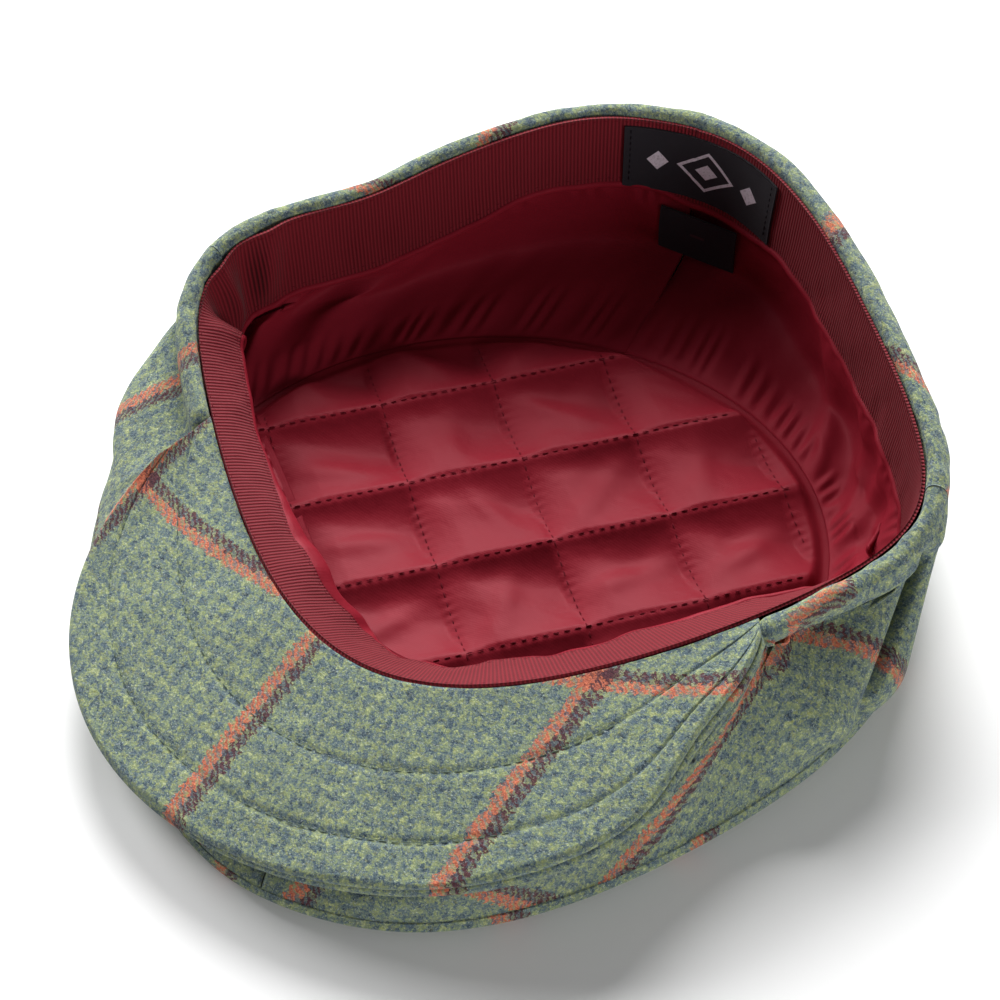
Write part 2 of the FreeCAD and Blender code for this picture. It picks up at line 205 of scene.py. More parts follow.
def shell_points(th):
    # way points of each section of the side and back panels: inside the opening, over
    # the rolled rim and down to the crown, or along under the visor at the front
    r, k, kn = rim(th), crown(th), crown_n(th)
    zs = k[:, 2]
    z6 = r[:, 2] - 8.0
    side = [at_rim(th, *o) for o in ((0.2, -10), (0.2, -3), (0.9, 1.1), (3.4, 2.0), (5.8, 0.2),
                                     (6.4, -3.5), (5.0, -8))]
    m = mix(at_rim(th, 5.0, 0), k + 2.0 * kn, 0.55)
    side.append(vec(m[:, 0], m[:, 1], z6 - 0.35 * (z6 - zs - 3)))
    m = k + 1.9 * kn
    side.append(vec(m[:, 0], m[:, 1], zs + 3 + 0.30 * (z6 - zs - 3)))
    m = k + 1.3 * kn
    side.append(vec(m[:, 0], m[:, 1], zs + 3.0))
    side.append(k)
    ahead = np.abs(th % (2 * PI) - PI)
    f = 1.0 - smooth(math.radians(54), math.radians(80), ahead)
    tuck = 1.0 - smooth(math.radians(47), math.radians(53), ahead)
    s = np.clip((PI - th % (2 * PI)) / math.radians(VISOR_DEG), -1, 1)
    depth = 2 * COVER + BOARD + 1.3
    front = [at_rim(th, 1.0, -13), at_rim(th, 1.4, -9.6), visor_at(s, 0.05 + 0 * s, depth) + vec(0, 0, -0.6)]
    front += [visor_at(s, w + 0 * s, depth) for w in (0.18, 0.32, 0.46, 0.60, 0.78)]
    o = visor_at(s, 0.95 + 0 * s, depth)
    front.append(o)
    m = mix(o, k, 0.6)
    front.append(vec(m[:, 0], m[:, 1], k[:, 2] + 0.62 * (o[:, 2] - k[:, 2])))
    front.append(k)
    # the rolled edge keeps its height up to the corner of the visor
    share = [tuck] * 5 + [mix(tuck, f, 0.35), mix(tuck, f, 0.7)] + [f] * 4
    return [mix(a, b, k) for a, b, k in zip(side, front, share)]


def lining_edge(th, k=1.0):
    s, c = np.sin(th), np.cos(th)
    x = LINING_W * s
    return vec(k * x, LINING_CY + k * (LINING_L * c + LINING_SKEW * x), 7.4)


def quilt_ring(x, y):
    # 1 on the edge of the quilted lining
    return np.hypot(x / LINING_W, (y - LINING_CY - LINING_SKEW * x) / LINING_L)


def lining_points(th):
    # way points of the side lining from the ribbon down to the quilting; the front is
    # a plain ramp, the rest drops and turns in
    e = smooth(0.10, 0.70, -np.cos(th))
    top = band_at(th, 0.86 + 0.11 * e, -1.3 + 0 * th)
    b1 = band_at(th, 1.03 + 0 * th, -1.3 + 0 * th)
    q = lining_edge(th, 1.012)
    q[:, 2] = 7.6
    f = smooth(0.0, 0.8, -np.cos(th))
    g = smooth(0.3, 0.9, np.cos(th))
    h = b1[:, 2] - q[:, 2]
    p2 = b1 + rim_n(th) * (0.8 - 1.6 * f)[:, None]
    p2[:, 2] = q[:, 2] + (0.62 - 0.04 * g) * h
    p3 = mix(b1, q, 0.14 - 0.12 * g)
    p3[:, 2] = q[:, 2] + (0.24 - 0.03 * g) * h
    p4 = mix(b1, q, 0.5 - 0.08 * g)
    p4[:, 2] = q[:, 2] + 0.05 * h + 0.3
    ht = top[:, 2] - q[:, 2]
    ramp = [top]
    for w, k in ((0.07, 0.84), (0.20, 0.60), (0.42, 0.33), (0.70, 0.13)):
        m = mix(top, q, w)
        m[:, 2] = q[:, 2] + k * ht
        ramp.append(m)
    ramp.append(q)
    return [mix(a, b, e) for a, b in zip([top, b1, p2, p3, p4, q], ramp)]


def curl_points(th):
    # way points of the top panel where it curls up to its seam
    zs = crown(th)[:, 2] - 0.4
    pts = [crown(th), crown(th) + 0.7 * crown_n(th), crown(th, 0.972), crown(th, 0.90), crown(th, 0.75)]
    for p, f in zip(pts, (1.0, 0.62, 0.24, 0.05, 0.0)):
        p[:, 2] = zs * f
    return pts


def normals(p, closed=False):
    # unit normals of a grid of points, du x dv
    if closed:
        q = np.concatenate([p[-1:], p, p[:1]])
        du = (q[2:] - q[:-2]) / 2
    else:
        du = np.gradient(p, axis=0)
    return unit(np.cross(du, np.gradient(p, axis=1)))


def run_length(p, axis):
    d = np.linalg.norm(np.diff(p, axis=axis), axis=-1)
    z = np.zeros_like(np.take(d, [0], axis))
    return np.cumsum(np.concatenate([z, d], axis), axis)


def flatten(p, start, cols=44, rows=16, turns=500):
    # lay a grid of points out flat with its edge lengths kept, as cut cloth is
    iu = np.unique(np.linspace(0, p.shape[0] - 1, cols).astype(int))
    iv = np.unique(np.linspace(0, p.shape[1] - 1, rows).astype(int))
    g, q = p[np.ix_(iu, iv)], start[np.ix_(iu, iv)].copy()
    pairs = [((slice(1, None), slice(None)), (slice(None, -1), slice(None)), 1.0),
             ((slice(None), slice(1, None)), (slice(None), slice(None, -1)), 1.0),
             ((slice(1, None), slice(1, None)), (slice(None, -1), slice(None, -1)), 0.6),
             ((slice(1, None), slice(None, -1)), (slice(None, -1), slice(1, None)), 0.6)]
    want = [np.linalg.norm(g[a] - g[b], axis=-1) for a, b, k in pairs]
    for turn in range(turns):
        move, weight = np.zeros_like(q), np.zeros(q.shape[:2])
        for (a, b, k), w in zip(pairs, want):
            d = q[a] - q[b]
            n = np.maximum(np.linalg.norm(d, axis=-1), 1e-6)
            step = d * (0.5 * k * (1 - w / n))[..., None]
            move[a] -= step
            move[b] += step
            weight[a] += k
            weight[b] += k
        q += 1.5 * move / weight[..., None]
    out = np.empty(p.shape[:2] + (2,))
    for c in range(2):
        t = np.stack([np.interp(np.arange(p.shape[1]), iv, row) for row in q[..., c]])
        out[..., c] = np.stack([np.interp(np.arange(p.shape[0]), iu, col) for col in t.T], 1)
    return out


# ------------------------------------------------------------------ meshes
def add_object(name, verts, faces, uvs=None, mat=None):
    co = np.asarray(verts, float).reshape(-1, 3).copy()
    co[:, 1] += Y_SHIFT
    me = bpy.data.meshes.new(name)
    me.from_pydata((co * MM).tolist(), [], [list(f) for f in faces])
    me.update()
    me.polygons.foreach_set("use_smooth", [True] * len(me.polygons))
    if uvs is not None:
        uv = np.asarray(uvs, float).reshape(-1, 2)
        idx = np.zeros(len(me.loops), int)
        me.loops.foreach_get("vertex_index", idx)
        layer = me.uv_layers.new(name="cloth")
        layer.data.foreach_set("uv", (uv[idx] * 0.01).ravel())
    ob = bpy.data.objects.new(name, me)
    bpy.context.scene.collection.objects.link(ob)
    if mat:
        me.materials.append(mat)
    return ob


def quads(nu, nv, base=0, flip=False, closed_u=False, closed_v=False):
    i = np.arange(nu if closed_u else nu - 1)
    j = np.arange(nv if closed_v else nv - 1)
    a, b = np.meshgrid(i, j, indexing="ij")
    a2, b2 = (a + 1) % nu, (b + 1) % nv
    f = np.stack([a * nv + b, a2 * nv + b, a2 * nv + b2, a * nv + b2], -1).reshape(-1, 4) + base
    return f[:, ::-1] if flip else f


def slab_mesh(name, plus, minus, uv, mat, closed=False):
    # closed solid between two grids; plus lies on the du x dv side
    nu, nv = plus.shape[:2]
    n = nu * nv
    faces = [quads(nu, nv, 0, False, closed), quads(nu, nv, n, True, closed)]
    i = np.arange(nu if closed else nu - 1)
    i2 = (i + 1) % nu
    for j, flip in ((0, True), (nv - 1, False)):
        f = np.stack([i * nv + j, i2 * nv + j, i2 * nv + j + n, i * nv + j + n], -1)
        faces.append(f if flip else f[:, ::-1])
    if not closed:
        k = np.arange(nv - 1)
        for r, flip in ((0, False), (nu - 1, True)):
            f = np.stack([r * nv + k, r * nv + k + 1, r * nv + k + 1 + n, r * nv + k + n], -1)
            faces.append(f if flip else f[:, ::-1])
    return add_object(name, np.concatenate([plus.reshape(-1, 3), minus.reshape(-1, 3)]), np.concatenate(faces),
                      np.concatenate([uv.reshape(-1, 2)] * 2), mat)


def tube_mesh(name, p, uv, mat, closed_u=False):
    # p: (nu, nv, 3), closed round v; flat ends unless closed in u
    nu, nv = p.shape[:2]
    faces = [list(f) for f in quads(nu, nv, 0, False, closed_u, True)]
    if not closed_u:
        faces.append(list(range(nv)))
        faces.append([(nu - 1) * nv + j for j in range(nv)][::-1])
    return add_object(name, p, faces, uv, mat)


def finish_piece(ob, body, nodes):
    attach(ob, body)
    if nodes:
        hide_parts(*nodes)
    return ob


# ------------------------------------------------------------------ materials
class Graph:
    # a small helper to write node graphs as expressions
    def __init__(self, name):
        self.mat = bpy.data.materials.new(name)
        self.mat.use_nodes = True
        self.nodes, self.links = self.mat.node_tree.nodes, self.mat.node_tree.links
        self.bsdf = self.nodes["Principled BSDF"]

    def plug(self, socket, value):
        if hasattr(value, "is_output"):
            self.links.new(value, socket)
        else:
            socket.default_value = value

    def node(self, kind, inputs=(), out=0, **props):
        n = self.nodes.new(kind)
        for k, v in props.items():
            setattr(n, k, v)
        for k, v in (inputs.items() if isinstance(inputs, dict) else enumerate(inputs)):
            self.plug(n.inputs[k], v)
        return n.outputs[out]

    def math(self, op, *args):
        return self.node("ShaderNodeMath", args, operation=op)

    def cloth_uv(self):
        uv = self.node("ShaderNodeUVMap", uv_map="cloth")
        uv = self.node("ShaderNodeVectorMath", {0: uv, "Scale": 100.0}, operation="SCALE")
        return uv

    def place(self, scale=1000.0):
        p = self.node("ShaderNodeTexCoord", out="Object")
        return self.node("ShaderNodeVectorMath", {0: p, "Scale": scale}, operation="SCALE")

    def noise(self, at, scale, detail=2.0, rough=0.5, out="Fac"):
        return self.node("ShaderNodeTexNoise", {"Vector": at, "Scale": scale, "Detail": detail,
                                                "Roughness": rough}, out=out)

    def colour_mix(self, fac, a, b, blend="MIX"):
        n = self.nodes.new("ShaderNodeMix")
        n.data_type = "RGBA"
        n.blend_type = blend
        self.plug(n.inputs["Factor"], fac)
        self.plug(n.inputs[6], a)
        self.plug(n.inputs[7], b)
        return n.outputs[2]

    def rescale(self, x, a, b, c=0.0, d=1.0):
        return self.node("ShaderNodeMapRange", {"Value": x, 1: a, 2: b, 3: c, 4: d})

    def bump_from(self, height, strength, distance):
        n = self.nodes.new("ShaderNodeBump")
        self.plug(n.inputs["Height"], height)
        n.inputs["Strength"].default_value = strength
        n.inputs["Distance"].default_value = distance
        self.links.new(n.outputs[0], self.bsdf.inputs["Normal"])

    def set(self, **values):
        for k, v in values.items():
            self.plug(self.bsdf.inputs[k.replace("_", " ")], v)


def srgb(r, g, b):
    def f(v):
        v /= 255.0
        return v / 12.92 if v <= 0.04045 else ((v + 0.055) / 1.055) ** 2.4
    return (f(r), f(g), f(b), 1.0)


# Tweed, mm: yarn spacing, the distance between the coloured lines each way, and the
# width of each of a line's two colours
THREAD = 0.52
WINDOW_U, WINDOW_V = 67.0, 76.0
LINE = 3.3


def tweed_material(name):
    g = Graph(name)
    uv, at = g.cloth_uv(), g.place()

    def jitter(scale, amount):
        n = g.noise(at, scale, 3.0, 0.6, "Color")
        n = g.node("ShaderNodeVectorMath", (n, (0.5, 0.5, 0.5)), operation="SUBTRACT")
        return g.node("ShaderNodeVectorMath", {0: n, "Scale": amount}, operation="SCALE")

    p = g.node("ShaderNodeVectorMath", (uv, jitter(0.25, 3.0)), operation="ADD")
    p = g.node("ShaderNodeVectorMath", (p, jitter(1.1, 2.6)), operation="ADD")
    s = g.nodes.new("ShaderNodeSeparateXYZ")
    g.links.new(p, s.inputs[0])
    u, v = s.outputs[0], s.outputs[1]
    i = g.math("FLOOR", g.math("DIVIDE", u, THREAD))
    j = g.math("FLOOR", g.math("DIVIDE", v, THREAD))

    def wrap(x, m):
        return g.math("FLOORED_MODULO", x, m)

    over = g.math("LESS_THAN", wrap(g.math("ADD", i, j), 4.0), 2.0)
    wa = g.math("LESS_THAN", wrap(i, 8.0), 4.0)
    we = g.math("LESS_THAN", wrap(j, 8.0), 4.0)
    check = g.math("ADD", g.math("MULTIPLY", over, wa), g.math("MULTIPLY", g.math("SUBTRACT", 1.0, over), we))
    fib = g.noise(at, 1.45, 4.0, 0.8)
    patch = g.noise(at, 0.5, 2.0, 0.6)
    f = g.math("ADD", g.math("MULTIPLY", check, -0.30), 0.63)
    f = g.math("ADD", f, g.rescale(fib, 0.36, 0.64, -0.28, 0.28))
    f = g.math("ADD", f, g.rescale(patch, 0.3, 0.7, -0.20, 0.20))
    ramp = g.nodes.new("ShaderNodeValToRGB")
    stops = ((0.0, (40, 54, 66)), (0.25, (76, 96, 110)), (0.5, (110, 126, 114)), (0.74, (134, 148, 100)),
             (1.0, (180, 186, 138)))
    e = ramp.color_ramp.elements
    while len(e) < len(stops):
        e.new(0.5)
    for q, (pos, c) in zip(e, stops):
        q.position, q.color = pos, srgb(*c)
    g.links.new(f, ramp.inputs[0])
    col = ramp.outputs[0]
    mustard = g.noise(g.node("ShaderNodeVectorMath", (at, (31.0, 7.0, 13.0)), operation="ADD"), 0.75, 3.0, 0.75)
    slate = g.noise(g.node("ShaderNodeVectorMath", (at, (5.0, 53.0, 29.0)), operation="ADD"), 0.65, 3.0, 0.75)
    col = g.colour_mix(g.rescale(mustard, 0.53, 0.68, 0.0, 0.5), col, srgb(158, 160, 84))
    col = g.colour_mix(g.rescale(slate, 0.53, 0.68, 0.0, 0.5), col, srgb(86, 104, 122))
    pale = g.noise(at, 2.3, 3.0, 0.7)
    col = g.colour_mix(g.rescale(pale, 0.57, 0.70, 0.0, 0.6), col, srgb(206, 214, 208))

    def line(colour, dark, across, along, start, lies_over, col):
        # the lines step with the twill at their edges
        zig = g.math("MULTIPLY", g.math("SUBTRACT", g.math("PINGPONG", along, 1.04), 0.52), 0.85)
        k = wrap(g.math("ADD", zig, g.math("SUBTRACT", across, start)), WINDOW_U if across is u else WINDOW_V)
        inside = g.math("LESS_THAN", k, LINE)
        amount = g.math("MULTIPLY", inside, g.rescale(lies_over, 0, 1, 0.22, 0.95))
        amount = g.math("MULTIPLY", amount, g.rescale(fib, 0.25, 0.5, 0.55, 1.0))
        return g.colour_mix(amount, col, g.colour_mix(g.rescale(pale, 0.35, 0.65), dark, colour))

    orange, rust, maroon, plum = srgb(226, 130, 92), srgb(158, 66, 50), srgb(104, 48, 58), srgb(44, 18, 30)
    under = g.math("SUBTRACT", 1.0, over)
    for across, along, lies in ((v, u, under), (u, v, over)):
        col = line(orange, rust, across, along, 0.0, lies, col)
        col = line(maroon, plum, across, along, LINE, lies, col)
    tone = g.noise(at, 0.05, 3.0, 0.6)
    tone = g.node("ShaderNodeCombineColor", [g.rescale(tone, 0.3, 0.7, 0.90, 1.08)] * 3)
    col = g.colour_mix(1.0, col, tone, "MULTIPLY")
    g.set(Base_Color=col, Roughness=0.95, Sheen_Weight=0.12, Sheen_Roughness=0.6)
    g.bsdf.inputs["Specular IOR Level"].default_value = 0.12
    slant = g.math("ADD", g.math("DIVIDE", u, THREAD), g.math("DIVIDE", v, THREAD))
    twill = g.math("PINGPONG", wrap(slant, 4.0), 2.0)
    h = g.math("ADD", g.math("MULTIPLY", twill, 0.12), g.math("MULTIPLY", fib, 1.4))
    h = g.math("ADD", h, g.math("MULTIPLY", g.noise(at, 0.9, 2.0), 0.8))
    g.bump_from(h, 0.8, 0.0005)
    return g.mat


def satin_material(name, base=(126, 27, 40), pale=(170, 54, 70)):
    g = Graph(name)
    uv, at = g.cloth_uv(), g.place()
    s = g.nodes.new("ShaderNodeSeparateXYZ")
    g.links.new(uv, s.inputs[0])
    weave = g.math("SINE", g.math("MULTIPLY", s.outputs[0], 2 * PI / 0.45))
    weave2 = g.math("SINE", g.math("MULTIPLY", s.outputs[1], 2 * PI / 0.7))
    tone = g.noise(at, 0.03, 3.0)
    deep = srgb(base[0] * 0.86, base[1] * 0.8, base[2] * 0.8)
    col = g.colour_mix(g.rescale(tone, 0.3, 0.7, 0.0, 0.35), srgb(*base), deep)
    g.set(Base_Color=col, Roughness=g.rescale(weave, -1, 1, 0.44, 0.52))
    g.set(Sheen_Weight=0.08, Sheen_Roughness=0.3)
    g.bsdf.inputs["Sheen Tint"].default_value = srgb(*pale)
    g.bsdf.inputs["Specular IOR Level"].default_value = 0.10
    g.bsdf.inputs["Specular Tint"].default_value = srgb(255, 150, 165)
    h = g.math("ADD", weave, g.math("MULTIPLY", weave2, 0.5))
    h = g.math("ADD", h, g.math("MULTIPLY", g.noise(at, 0.22, 3.0), 26.0))
    g.bump_from(h, 0.15, 0.00008)
    return g.mat


def ribbon_material(name):
    g = Graph(name)
    uv, at = g.cloth_uv(), g.place()
    s = g.nodes.new("ShaderNodeSeparateXYZ")
    g.links.new(uv, s.inputs[0])
    rib = g.math("SINE", g.math("MULTIPLY", s.outputs[0], 2 * PI / 1.05))
    along = g.math("SINE", g.math("MULTIPLY", s.outputs[1], 2 * PI / 0.3))
    # the ribs are painted darker in their grooves and lighter on their ridges, painted shade and painted light
    # that follow the rib bump
    dark, light = srgb(82, 10, 19), srgb(118, 22, 34)
    f = g.rescale(rib, -1, 1)
    f = g.math("ADD", g.math("MULTIPLY", f, 0.8), g.math("MULTIPLY", g.noise(at, 1.3, 3.0, 0.7), 0.3))
    g.set(Base_Color=g.colour_mix(f, dark, light), Roughness=0.75, Sheen_Weight=0.05, Sheen_Roughness=0.5)
    g.bsdf.inputs["Specular IOR Level"].default_value = 0.15
    g.bump_from(g.math("ADD", rib, g.math("MULTIPLY", along, 0.15)), 0.55, 0.00025)
    return g.mat


def thread_material(name, colour):
    g = Graph(name)
    at = g.place()
    n = g.noise(at, 2.5, 2.0)
    c = srgb(*colour)
    dark = tuple(0.5 * x for x in c[:3]) + (1.0,)
    g.set(Base_Color=g.colour_mix(g.rescale(n, 0.3, 0.7), dark, c), Roughness=0.9)
    g.bsdf.inputs["Specular IOR Level"].default_value = 0.1
    g.bump_from(n, 0.5, 0.0002)
    return g.mat


def label_material(name, motif):
    # black woven damask, with plain lozenges where motif is on and one short bar where it is off
    g = Graph(name)
    uv, at = g.cloth_uv(), g.place()
    s = g.nodes.new("ShaderNodeSeparateXYZ")
    g.links.new(uv, s.inputs[0])
    u, v = s.outputs[0], s.outputs[1]
    weave = g.math("MULTIPLY", g.math("SINE", g.math("MULTIPLY", u, 2 * PI / 0.36)),
                   g.math("SINE", g.math("MULTIPLY", v, 2 * PI / 0.36)))
    black, pale = srgb(22, 20, 25), srgb(206, 198, 208)
    col = g.colour_mix(g.rescale(weave, -1, 1), black, srgb(36, 33, 40))
    au, av = g.math("ABSOLUTE", u), g.math("ABSOLUTE", v)
    if motif:
        big = g.math("ADD", g.math("DIVIDE", au, 9.0), g.math("DIVIDE", av, 6.2))
        ring = g.math("LESS_THAN", g.math("ABSOLUTE", g.math("SUBTRACT", big, 1.0)), 0.09)
        core = g.math("LESS_THAN", big, 0.42)
        us = g.math("ABSOLUTE", g.math("SUBTRACT", au, 15.5))
        small = g.math("ADD", g.math("DIVIDE", us, 3.2), g.math("DIVIDE", av, 3.2))
        small = g.math("LESS_THAN", small, 1.0)
        m = g.math("MAXIMUM", g.math("MAXIMUM", ring, core), small)
    else:
        bar = g.math("ABSOLUTE", g.math("SUBTRACT", v, 1.0))
        m = g.math("MULTIPLY", g.math("LESS_THAN", au, 2.2), g.math("LESS_THAN", bar, 0.45))
    m = g.math("MULTIPLY", m, g.rescale(g.noise(at, 1.8, 3.0), 0.25, 0.5, 0.55, 1.0))
    col = g.colour_mix(m, col, pale if motif else srgb(70, 40, 50))
    g.set(Base_Color=col, Roughness=0.65, Sheen_Weight=0.05)
    g.bsdf.inputs["Specular IOR Level"].default_value = 0.2
    g.bump_from(g.math("ADD", weave, g.math("MULTIPLY", m, 1.5)), 0.5, 0.00015)
    return g.mat


TWEED = tweed_material("tweed_check")
SATIN = satin_material("satin_crimson")
# the quilted floor of the lining uses the same crimson satin painted a little darker, as painted shade
SATIN_QUILT_SHADED = satin_material("satin_quilted_painted_shade", (118, 24, 36))
RIBBON = ribbon_material("grosgrain_red")
RED_THREAD = thread_material("thread_crimson", (104, 18, 32))
GREEN_THREAD = thread_material("thread_green", (104, 118, 104))
BLACK_THREAD = thread_material("thread_black", (30, 26, 32))
LABEL = label_material("label_woven", True)
TAB = label_material("tab_woven", False)


# Each cut function turns a place on the flat cloth into the tweed's own U and V, so it
# says how the cloth was turned and bent when the piece was cut and moulded.
def cut_visor(x, y):
    u = x - 0.16 * (y + 100) + 20.3 + LINE
    return np.where(u < 0, 0.932, 1.0) * u, y - 0.0336 * x - 0.002575 * x * x + 79.8 + LINE


def cut_right(x, y):
    w = np.exp(-((x - 115) / 40) ** 2 - ((y + 30) / 40) ** 2)
    u = x - 102.2 - 0.23 * (y + 44) + 10.7 * smooth(-44, -33, y) + 12 * smooth(-21, -13, y) + LINE
    return u, y - 0.61 * (x - 103) * w + 32.9 + LINE + 12 * smooth(100, 88, x)


def cut_left(x, y):
    return 0.497 * x - 0.868 * y + 29.0 + LINE, 0.868 * x + 0.497 * y + 139.7


def cut_back(x, y):
    mid = np.clip(x, -44.5, 44.5)
    half = WINDOW_U / 2
    u = np.where(x < 0, 0, WINDOW_U) + mid * 0.753 + (x - mid) + np.where(x < 0, half, -half) + LINE
    return u, y - 38.0 + LINE


# ------------------------------------------------------------------ crown
FINE = 1.0        # share of the full number of mesh steps


def count(n):
    return max(8, int(n * FINE))


def shell_detail(th, t, p, n):
    # soft unevenness of the cloth, puckers beside the seams
    x, y = th[:, None] * 95, t[None, :] * 70
    d = 0.5 * lattice(x / 14, y / 16, 3) + 0.25 * lattice(x / 5, y / 6, 4)
    deg, T = np.degrees(th)[:, None], t[None, :]
    wall = smooth(0.42, 0.56, T) * (1 - smooth(0.90, 1.0, T))
    dent = bump(deg, 99.5 + 5 * (T - 0.7), 1.5)
    d = d + wall * (2.2 * bump(deg, 93, 5) - 4.2 * dent + 1.6 * bump(deg, 106, 5))
    d = d + wall * (1.2 * bump(deg, 262, 6) - 1.6 * bump(deg, 268, 2.5))
    return p + n * d[..., None]


def shell_panel(name, a, b, node, cut):
    th = np.linspace(math.radians(a), math.radians(b), count(int(abs(b - a) * 2.4)))
    t = np.linspace(0, 1, count(110))
    p = spline(shell_points(th), t)
    n = normals(p)
    length = run_length(p, 1) - run_length(p, 1)[:, [int(0.3 * len(t))]]
    r, rn = rim(th), rim_n(th)
    uv = flatten(p, r[:, None, :2] + rn[:, None, :2] * length[..., None], 44, 24, 900)
    uv = np.stack(cut(uv[..., 0], uv[..., 1]), -1)
    p = shell_detail(th, t, p, n)
    n = normals(p)
    ob = slab_mesh(name, p, p - n * 1.8, uv, TWEED)
    return finish_piece(ob, "cap", [node])


shell_panel("tweed_back", -84.9, 84.9, "back_panel", cut_back)
shell_panel("tweed_side_right", 85.1, 179.9, "side_panel_right", cut_right)
shell_panel("tweed_side_left", 180.1, 274.9, "side_panel_left", cut_left)


def top_panel():
    th = np.linspace(0, 2 * PI, count(420), endpoint=False)
    t = np.linspace(0, 1, count(40))
    p = spline(curl_points(th), t)
    rings = [vec(crown(th, k)[:, 0], crown(th, k)[:, 1], 0 * th) for k in (0.66, 0.55, 0.42, 0.28, 0.14)]
    p = np.concatenate([p, np.stack(rings, 1)], 1)
    n = normals(p, True)
    inner = p - n * 2.0
    length = run_length(p, 1)
    uv = p[:, -1:, :2] + unit(p[:, :1, :2] - np.array([0.0, CROWN_CY])) * (length[:, -1:] - length)[..., None]
    nu, nv = p.shape[:2]
    verts = np.concatenate([p.reshape(-1, 3), inner.reshape(-1, 3), [[0, CROWN_CY, 0], [0, CROWN_CY, 2.0]]])
    k = nu * nv
    i = np.arange(nu)
    i2 = (i + 1) % nu
    faces = [list(f) for f in quads(nu, nv, 0, False, True)] + [list(f) for f in quads(nu, nv, k, True, True)]
    faces += [[a * nv, a * nv + k, b * nv + k, b * nv] for a, b in zip(i, i2)]
    faces += [[a * nv + nv - 1, b * nv + nv - 1, 2 * k] for a, b in zip(i, i2)]
    faces += [[b * nv + nv - 1 + k, a * nv + nv - 1 + k, 2 * k + 1] for a, b in zip(i, i2)]
    uvs = np.concatenate([uv.reshape(-1, 2)] * 2 + [[[0, CROWN_CY], [0, CROWN_CY]]])
    ob = add_object("tweed_top", verts, faces, uvs + 14.0, TWEED)
    return finish_piece(ob, "cap", ["crown_top_panel"])


top_panel()


# ------------------------------------------------------------------ visor
def visor_cover(name, depth, thick, node, edge_out):
    s = np.linspace(-1, 1, count(260))
    nw = count(70)
    w = np.linspace(0, 1, nw)
    S, W = np.meshgrid(s, w, indexing="ij")
    top = visor_at(S, W, depth + 0 * S)
    n = visor_n(S, W)
    length = run_length(top, 1)
    round_rim = np.radians(180 - VISOR_DEG * s)
    r, rn = rim(round_rim), rim_n(round_rim)
    uv = flatten(top, r[:, None, :2] + rn[:, None, :2] * length[..., None])
    x, y = uv[..., 0], uv[..., 1]
    soft = 0.35 * lattice(x / 18, y / 18, 11) + 0.2 * lattice(x / 6, y / 6, 12)
    row1 = 0.80 + 0 * S
    row2 = 0.31 + 0.14 * (1 - S * S)
    groove = 0.55 * bump(W, row1, 0.018) + 0.45 * bump(W, row2, 0.02)
    soft = (soft - groove) * (depth < 0.5)
    up = top + n * soft[..., None]
    low = top - n * thick
    out = unit(top[:, -1] - top[:, -2])
    arc = []
    for k in range(1, 8):
        a = PI * k / 8
        c = (top[:, -1] + low[:, -1]) / 2
        arc.append(c + n[:, -1] * (thick / 2 * math.cos(a)) + out * (edge_out * math.sin(a)))
    arc = np.stack(arc, 1)
    loop = np.concatenate([up, arc, low[:, ::-1]], 1)
    past = rn[:, None, :2] * np.linspace(0.4, 2.8, 7)[None, :, None]
    uvl = np.concatenate([uv, np.repeat(uv[:, -1:], 7, 1) + past, uv[:, ::-1]], 1)
    uvl = np.stack(cut_visor(uvl[..., 0], uvl[..., 1]), -1)
    ob = tube_mesh(name, loop[:, ::-1], uvl[:, ::-1], TWEED)
    return finish_piece(ob, "cap", [node])


visor_cover("visor_underside", 0.0, 2.6, "visor_under_cover", 1.3)
visor_cover("visor_topside", 3.0, 2.9, "visor_top_cover", 1.5)


# ------------------------------------------------------------------ sweatband
def band_shape(TH, V):
    # the ribbon as it lies: flatter and partly turned under along the visor
    deg = np.degrees(TH) % 360
    flat = smooth(186, 205, deg) * (1 - smooth(251, 264, deg))
    front = smooth(118, 150, deg) * (1 - smooth(190, 215, deg))
    wavy = np.sin(deg / 3.9 + 1.7 * np.sin(deg / 11)) * 0.6 + lattice(deg / 5, 0 * deg, 23) * 0.5
    back = smooth(318, 330, deg) * (1 - smooth(352, 360, deg)) \
        + smooth(14, 26, deg) * (1 - smooth(72, 86, deg))
    k = 1 - (0.26 + 0.12 * wavy) * front - (0.11 + 0.02 * wavy) * back
    q = at_rim(TH, -(10.8 + 0.5 * wavy) * V, 0.3 - 4.6 * V * (0.6 + 0.4 * V))
    return mix(band(TH, V * k), q, flat), flat, front


def calm(deg):
    # 0 where the labels are sewn, 1 elsewhere
    return 1 - bump((deg - 3 + 180) % 360 - 180, 0, 17)


def ribbon_lift(deg, v):
    # waves and buckles of the ribbon, off its smooth shape
    belly = np.sin(PI * np.clip(v * 0.86 + 0.08, 0, 1))
    wave = v * (0.6 * lattice(deg / 9, v * 2, 21) + 0.35 * lattice(deg / 3, v * 3, 22)) * calm(deg)
    buckle = belly * (3.8 * bump(deg, 288.5 - 3 * v, 3.2) + 4.6 * bump(deg, 272 + 2 * v, 4.5)
                      - 1.6 * bump(deg, 280.5, 3.0) - 0.8 * bump(deg, 302, 4.0))
    return wave + buckle + 1.8 * bump(deg, 257, 4.0) * v


